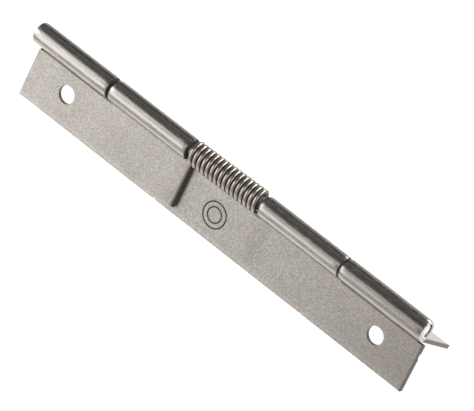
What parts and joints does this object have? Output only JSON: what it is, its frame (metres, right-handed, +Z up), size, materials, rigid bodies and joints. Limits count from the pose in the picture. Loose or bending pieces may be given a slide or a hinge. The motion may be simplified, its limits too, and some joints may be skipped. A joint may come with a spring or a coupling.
{
  "type": "spring hinge strip",
  "caption": "Steel hinge strip: two leaves of bent sheet rolled round one pin, with a torsion spring between the middle knuckles.",
  "frame": {"origin": "on the surface that the hinge stands on, under the middle of the pin", "axes": "+X along the pin, +Y towards the door leaf's side, +Z up; the leaves stand like a tent, at the spring's relaxed angle"},
  "size_m": [0.1502, 0.0212, 0.0235],
  "materials": {
    "leaf_steel": "raw cold rolled sheet, matte, with a fine mottled grain",
    "pin_steel": "drawn wire, satin",
    "spring_steel": "drawn spring wire, satin"
  },
  "bodies": {
    "frame": {"frame_leaf": "leaf_steel", "torsion_spring": "spring_steel"},
    "door": {"door_leaf": "leaf_steel", "hinge_pin": "pin_steel"}
  },
  "joints": [
    {"name": "leaf_fold", "type": "hinge", "parent": "frame", "child": "door", "pos_m": [0, 0, 0.0195], "axis": [1, 0, 0], "range_deg": [-6.5, 289], "stiffness_Nm_per_rad": 0.165, "deforming": ["torsion_spring"]}
  ]
}
